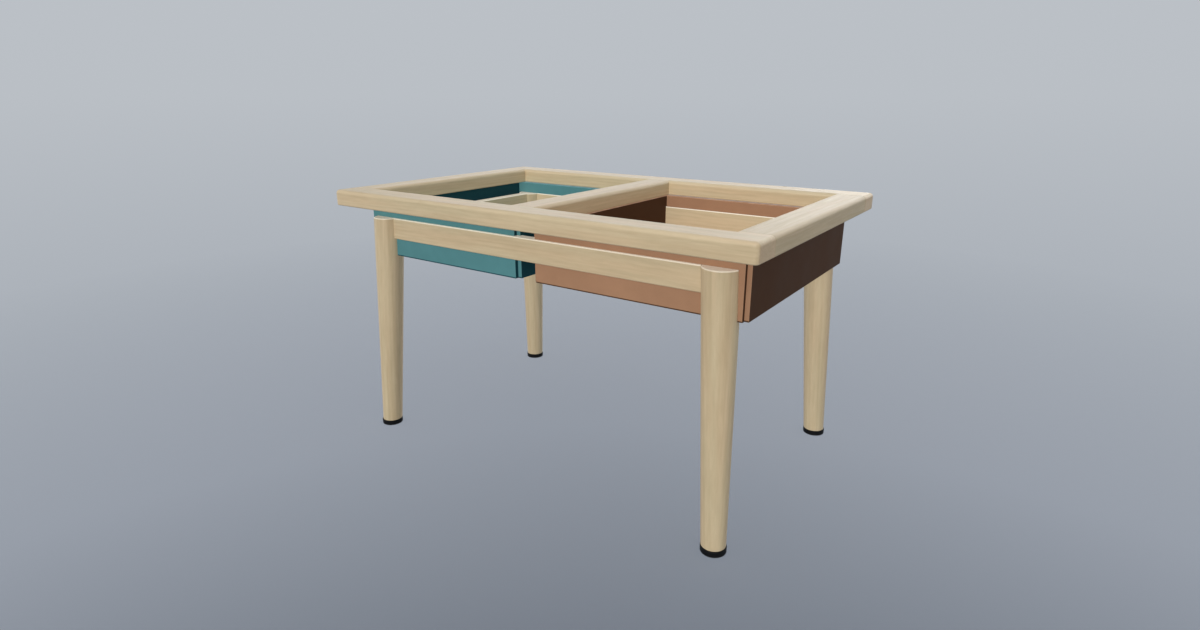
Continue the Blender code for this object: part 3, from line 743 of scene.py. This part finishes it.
def painted(name, face_colour, painted_shade_colour, wear_and_highlight_colour):
    """Satin paint on board, mottled slowly and stippled finely by the roller.

    Its colour carries a painted shade on the faces that look left, right and down and along the
    lowest edge. Where noise lets it, the paint is made paler along edges as wear and on the rim's
    top face as a painted highlight.
    """
    material, tree, shader, place = new_finish(name, 0.5, specular=0.02)
    way = tree.nodes.new("ShaderNodeNewGeometry").outputs["Normal"]
    edge, parts = edge_share(tree, way)
    # Painted shade: faces that look left, right and down, and a band along the lowest edge, take
    # the dark colour
    downward_shade = grade(tree, part_of(tree, way, 2), -0.04, -0.25)
    height_on = part_of(tree, place, 2)
    low_edge_shade = grade(tree, height_on, BIN_BOTTOM + 0.0034, BIN_BOTTOM + 0.0024)
    painted_shade_share = calculate(tree, "MAXIMUM", grade(tree, parts.outputs[0], 0.62, 0.80),
                         calculate(tree, "MAXIMUM", downward_shade, low_edge_shade))
    mottle = cloud(tree, place, 9.0, 3.0, 0.55)
    cloudy = cloud(tree, place, 42.0)
    stipple = cloud(tree, place, 620.0, 2.0, 0.6)
    colour = blend(tree, painted_shade_share, face_colour, painted_shade_colour)
    tone = add_up(tree, 0.93, ((mottle, 0.3, 0.7, 0.10), (cloudy, 0.3, 0.7, 0.04),
                               (stipple, 0.3, 0.7, 0.03)))
    shade = step(tree, "ShaderNodeCombineColor", {0: tone, 1: tone, 2: tone}).outputs[0]
    colour = blend(tree, 1.0, colour, shade, "MULTIPLY")
    paler_share = grade(tree, cloud(tree, place, 28.0, 4.0, 0.7), 0.42, 0.62, 0.15, 0.75)
    # The rim's top face is painted paler, a painted highlight of the light from above; along edges
    # the paler colour is wear
    rim_top_highlight = calculate(tree, "MULTIPLY", grade(tree, parts.outputs[2], 0.7, 0.95),
                    grade(tree, height_on, RIM - 0.004, RIM - 0.001))
    paler_share = calculate(tree, "MULTIPLY", calculate(tree, "MAXIMUM", edge, rim_top_highlight), paler_share)
    colour = blend(tree, paler_share, colour, wear_and_highlight_colour)
    rough = grade(tree, mottle, 0.3, 0.7, 0.40, 0.52)
    height = calculate(tree, "MULTIPLY_ADD", cloudy, 0.8, stipple)
    finish_with(tree, shader, colour, rough, height, 0.00012, 0.30)
    return material


def black_plastic(name):
    """Moulded black plastic with a fine grain, scuffed grey where it rubs on the floor."""
    material, tree, shader, place = new_finish(name, 0.5, specular=0.12)
    grain = cloud(tree, place, 2200.0)
    patch = cloud(tree, place, 160.0, 3.0, 0.65)
    low = calculate(tree, "MULTIPLY", grade(tree, part_of(tree, place, 2), 0.004, 0.0),
                    grade(tree, patch, 0.42, 0.66))
    colour = blend(tree, grade(tree, patch, 0.3, 0.7), PLASTIC_DEEP, PLASTIC_WORN)
    colour = blend(tree, calculate(tree, "MULTIPLY", low, 0.5), colour, SCUFF)
    rough = grade(tree, patch, 0.3, 0.7, 0.42, 0.60)
    finish_with(tree, shader, colour, rough, grain, 0.00008, 0.40)
    return material


def zinc(name):
    """Bright zinc plating with soft blotches and fine turning marks."""
    material, tree, shader, place = new_finish(name, 0.3, 1.0)
    blotch = cloud(tree, place, 260.0, 3.0, 0.6)
    marks = cloud(tree, place, (300.0, 300.0, 4200.0))
    colour = blend(tree, grade(tree, blotch, 0.3, 0.7), ZINC_DULL, ZINC_BRIGHT)
    rough = grade(tree, blotch, 0.3, 0.7, 0.24, 0.42)
    finish_with(tree, shader, colour, rough, marks, 0.00004, 0.30)
    return material


# The camera and the setting

CAMERA_PLACE = (0.9422, -1.3463, 0.8501)
CAMERA_DIP = 0.3146
CAMERA_TURN = 0.6105
FOCAL_LENGTH = 20.265
# The backdrop's cool grey at the foot, below the table, at the horizon and overhead
BACKDROP_SHADES = ((-0.70, (97, 104, 115)), (-0.46, (154, 161, 171)), (0.0, (186, 191, 197)),
                   (1.0, (198, 203, 209)))
SKY_BELOW = (0.80, 0.79, 0.78, 1.0)
SKY_ABOVE = (0.93, 0.97, 1.0, 1.0)
SKY_STRENGTH = 0.40
FLOOR_COLOUR = (0.302, 0.323, 0.355, 1.0)
FLOOR_REACH = 3.2
FLOOR_SIDES = 96
FLOOR_RINGS = 8
FLOOR_SHOWN = 0.42
FLOOR_FADE_STARTS = 0.7
FLOOR_FADE_ENDS = 3.0
LAMP_SPREAD = math.radians(40.0)


def make_camera():
    """The photo's viewpoint, solved from the table's own edges."""
    camera = bpy.data.objects.new("camera", bpy.data.cameras.new("camera"))
    camera.location = CAMERA_PLACE
    camera.rotation_euler = (math.pi / 2 - CAMERA_DIP, 0.0, CAMERA_TURN)
    camera.data.sensor_width = 36.0
    camera.data.lens = FOCAL_LENGTH
    camera.data.clip_end = 200.0
    bpy.context.scene.collection.objects.link(camera)
    bpy.context.scene.camera = camera


def seen_ray(tree):
    """One for rays from the camera and for those seen in gloss or through glass, else zero."""
    path = tree.nodes.new("ShaderNodeLightPath").outputs
    return calculate(tree, "MAXIMUM", path["Is Camera Ray"],
                     calculate(tree, "MAXIMUM", path["Is Glossy Ray"],
                               path["Is Transmission Ray"]))


def make_world():
    """A backdrop that pales upwards as the photo's does, and even light from all round."""
    world = bpy.data.worlds.new("studio")
    bpy.context.scene.world = world
    world.use_nodes = True
    tree = world.node_tree
    tree.nodes.clear()
    up = part_of(tree, tree.nodes.new("ShaderNodeTexCoord").outputs["Generated"], 2)
    ramp = step(tree, "ShaderNodeValToRGB", {0: grade(tree, up, -1.0, 1.0)})
    stops = ramp.color_ramp.elements
    for number, (height, shade) in enumerate(BACKDROP_SHADES):
        stop = stops[number] if number < 2 else stops.new((height + 1) / 2)
        stop.position = (height + 1) / 2
        stop.color = linear(*shade)
    seen = step(tree, "ShaderNodeBackground", {"Color": ramp.outputs[0], "Strength": 1.0})
    sky = blend(tree, grade(tree, up, -0.4, 0.8), SKY_BELOW, SKY_ABOVE)
    light = step(tree, "ShaderNodeBackground", {"Color": sky, "Strength": SKY_STRENGTH})
    both = step(tree, "ShaderNodeMixShader", {0: seen_ray(tree), 1: light.outputs[0],
                                              2: seen.outputs[0]})
    out = tree.nodes.new("ShaderNodeOutputWorld")
    tree.links.new(both.outputs[0], out.inputs["Surface"])


def make_floor():
    """A plain grey floor that takes the table's shadow and fades into the backdrop all round.

    Its points are radius x (cosine, sine) of the angle.
    """
    reach = np.linspace(0.0, FLOOR_REACH, FLOOR_RINGS + 1)[:, None, None]
    points = raised(reach * circle(FLOOR_SIDES)[1], np.zeros(FLOOR_RINGS + 1))
    index = np.arange(points.size // 3).reshape(points.shape[:2])
    faces = np.stack([index[:-1, :-1], index[1:, :-1], index[1:, 1:], index[:-1, 1:]], -1)
    mesh = bpy.data.meshes.new("floor")
    mesh.from_pydata(points.reshape(-1, 3).tolist(), [], faces.reshape(-1, 4).tolist())
    material, tree, shader, place = new_finish("floor", 0.9, specular=0.1)
    shader.inputs["Base Color"].default_value = FLOOR_COLOUR
    distance = step(tree, "ShaderNodeVectorMath", {0: place}, operation="LENGTH")
    share = grade(tree, distance.outputs["Value"], FLOOR_FADE_ENDS, FLOOR_FADE_STARTS, 0.0,
                  FLOOR_SHOWN)
    from_below = tree.nodes.new("ShaderNodeNewGeometry").outputs["Backfacing"]
    share = calculate(tree, "MULTIPLY", share, calculate(tree, "SUBTRACT", 1.0, from_below))
    share = calculate(tree, "MAXIMUM", share, calculate(tree, "SUBTRACT", 1.0, seen_ray(tree)))
    clear = tree.nodes.new("ShaderNodeBsdfTransparent")
    both = step(tree, "ShaderNodeMixShader", {0: share, 1: clear.outputs[0],
                                              2: shader.outputs[0]})
    tree.links.new(both.outputs[0], tree.nodes["Material Output"].inputs["Surface"])
    mesh.materials.append(material)
    floor = bpy.data.objects.new("floor", mesh)
    bpy.context.scene.collection.objects.link(floor)


def studio_lamp(name, turn, climb, power, colour, gloss_only=False):
    """A broad, far lamp, turned round the table from the front and raised, both in degrees.

    It casts no hard shadows: the shadows are the soft ones of the light from all round.
    """
    lamp = bpy.data.lights.new(name, "SUN")
    lamp.angle = LAMP_SPREAD
    lamp.energy = power
    lamp.color = colour
    lamp.use_shadow = False
    item = bpy.data.objects.new(name, lamp)
    item.rotation_euler = (math.radians(90.0 - climb), 0.0, math.radians(turn))
    item.visible_diffuse = not gloss_only
    bpy.context.scene.collection.objects.link(item)


make_camera()
make_world()
make_floor()
studio_lamp("front_lamp", 4.0, 26.0, 2.22, (1.0, 0.983, 0.967))
studio_lamp("top_lamp", 0.0, 88.0, 0.66, (0.62, 0.72, 1.0))
studio_lamp("right_lamp", 96.0, 8.0, 0.38, (1.0, 0.98, 0.95))
studio_lamp("left_lamp", -84.0, 8.0, 0.34, (1.0, 0.98, 0.95))
studio_lamp("rear_lamp", 180.0, 14.0, 1.0, (1.0, 0.99, 0.97))
studio_lamp("sheen_lamp", 214.0, 24.0, 0.42, (0.90, 0.91, 1.0), gloss_only=True)

# The table

WOOD, METAL = "light_wood", "zinc_steel"

# Each piece's tone, pale at 0 and dark at 1, is partly its own and partly painted light: the rear
# rail is made paler to offset the shade on it
for word, end in ENDS.items():
    name = word + "_top_rail"
    finish = birch(name, GRAIN_ALONG["x"], (0.11, 0.20 + 0.07 * end, 1.3 * end), 0.45 - 0.07 * end)
    make_piece(name + "_wood", name, finish, WOOD, "table", *long_rail(end))

# The right rail's dark tone offsets the light on its top, a painted shade
for name, low_x, high_x, tone, pith in (
        ("left_top_rail", -HALF_LENGTH, -OPENING_X, 0.45, (0.36, 0.13, 0.4)),
        ("divider_rail", -DIVIDER_HALF, DIVIDER_HALF, 0.52, (0.14, 0.09, 2.2)),
        ("right_top_rail", OPENING_X, HALF_LENGTH, 0.86, (-0.38, 0.16, 3.1))):
    make_piece(name + "_wood", name, birch(name, GRAIN_ALONG["y"], pith, tone), WOOD, "table",
               *short_rail(low_x, high_x))

# The rear legs are made paler than the front ones to offset the shade on them
for end_word, end in ENDS.items():
    for side_word, side in SIDES.items():
        corner = end_word + "_" + side_word
        pith = (0.10 * side + 0.05, 0.16 * end - 0.3, 0.7 * side + end)
        finish = birch(corner + "_leg", (-end * SPLAY, side * SPLAY, 0.0), pith, 0.51 - 0.07 * end,
                       0.7)
        make_piece(corner + "_leg_wood", corner + "_leg", finish, WOOD, "table",
                   leg_shell(side, end))

# The aprons are made paler to offset the shade under the frame, most of all the rear and left
# ones, whose faces are seen inside the bins
for number, (word, tone) in enumerate((("front", 0.42), ("rear", 0.10), ("left", 0.26),
                                       ("right", 0.42))):
    along = 0 if word in ENDS else 1
    finish = birch(word + "_apron", GRAIN_ALONG["x" if word in ENDS else "y"],
                   (0.45 + 0.1 * number, 0.12, 0.9 * number), tone, 0.9)
    make_piece(word + "_apron_wood", word + "_apron", finish, WOOD, "table",
               apron_shell(along, {**ENDS, **SIDES}[word]))

# Each paint: its colour, a painted shade for faces that look left, right and down, and a paler
# colour for edge wear and for a painted highlight on the rim
PAINTS = {
    "left": ("teal_board", painted("teal", linear(81, 128, 131), linear(27, 66, 74),
                                   linear(112, 158, 160))),
    "right": ("terracotta_board", painted("terracotta", linear(158, 121, 94),
                                          linear(72, 49, 33), linear(186, 152, 126))),
}
for side_word, side in SIDES.items():
    slot, paint = PAINTS[side_word]
    for end_word, end in ENDS.items():
        for level, shell in (("upper", upper_board), ("lower", lower_board)):
            grids, caps = shell()
            name = side_word + "_bin_" + end_word + "_" + level + "_board"
            make_piece(name + "_painted", name, paint, slot, "table",
                       placed(grids, (side, end, 1)), placed(caps, (side, end, 1)))
    for place, (low_x, high_x) in SIDE_BOARDS.items():
        grids, caps = side_board(low_x, high_x, place == "inner")
        name = side_word + "_bin_" + place + "_side"
        make_piece(name + "_painted", name, paint, slot, "table", placed(grids, (side, 1, 1)),
                   placed(caps, (side, 1, 1)))
    refinish(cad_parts[side_word + "_bin_floor"], paint)

plating = zinc("zinc_plating")
dowel_wood = birch("dowel_wood", GRAIN_ALONG["z"], (0.2, 0.1, 0.0), 0.5)
for name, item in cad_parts.items():
    if "_screw_" in name:
        make_piece(name + "_turned", name, plating, METAL, "table", screw_shell(*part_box(name)))
    if name.endswith("_dowel"):
        refinish(item, dowel_wood)

for end_word, end in ENDS.items():
    for side_word, side in SIDES.items():
        corner = end_word + "_" + side_word
        foot = (side * FOOT_X, end * FOOT_Y)
        body = corner + "_foot"
        make_piece(corner + "_pad_moulded", corner + "_glide_pad", black_plastic(corner + "_pad"),
                   "black_plastic", body, pad_shell(foot))
        make_piece(corner + "_stem_threaded", corner + "_glide_stem", plating, METAL, body,
                   *stem_shell(foot))
        make_piece(corner + "_insert_sleeve", corner + "_leg_insert", plating, METAL, "table",
                   insert_shell(foot))

# The view transform, and the end

scene = bpy.context.scene
scene.view_settings.view_transform = "Standard"
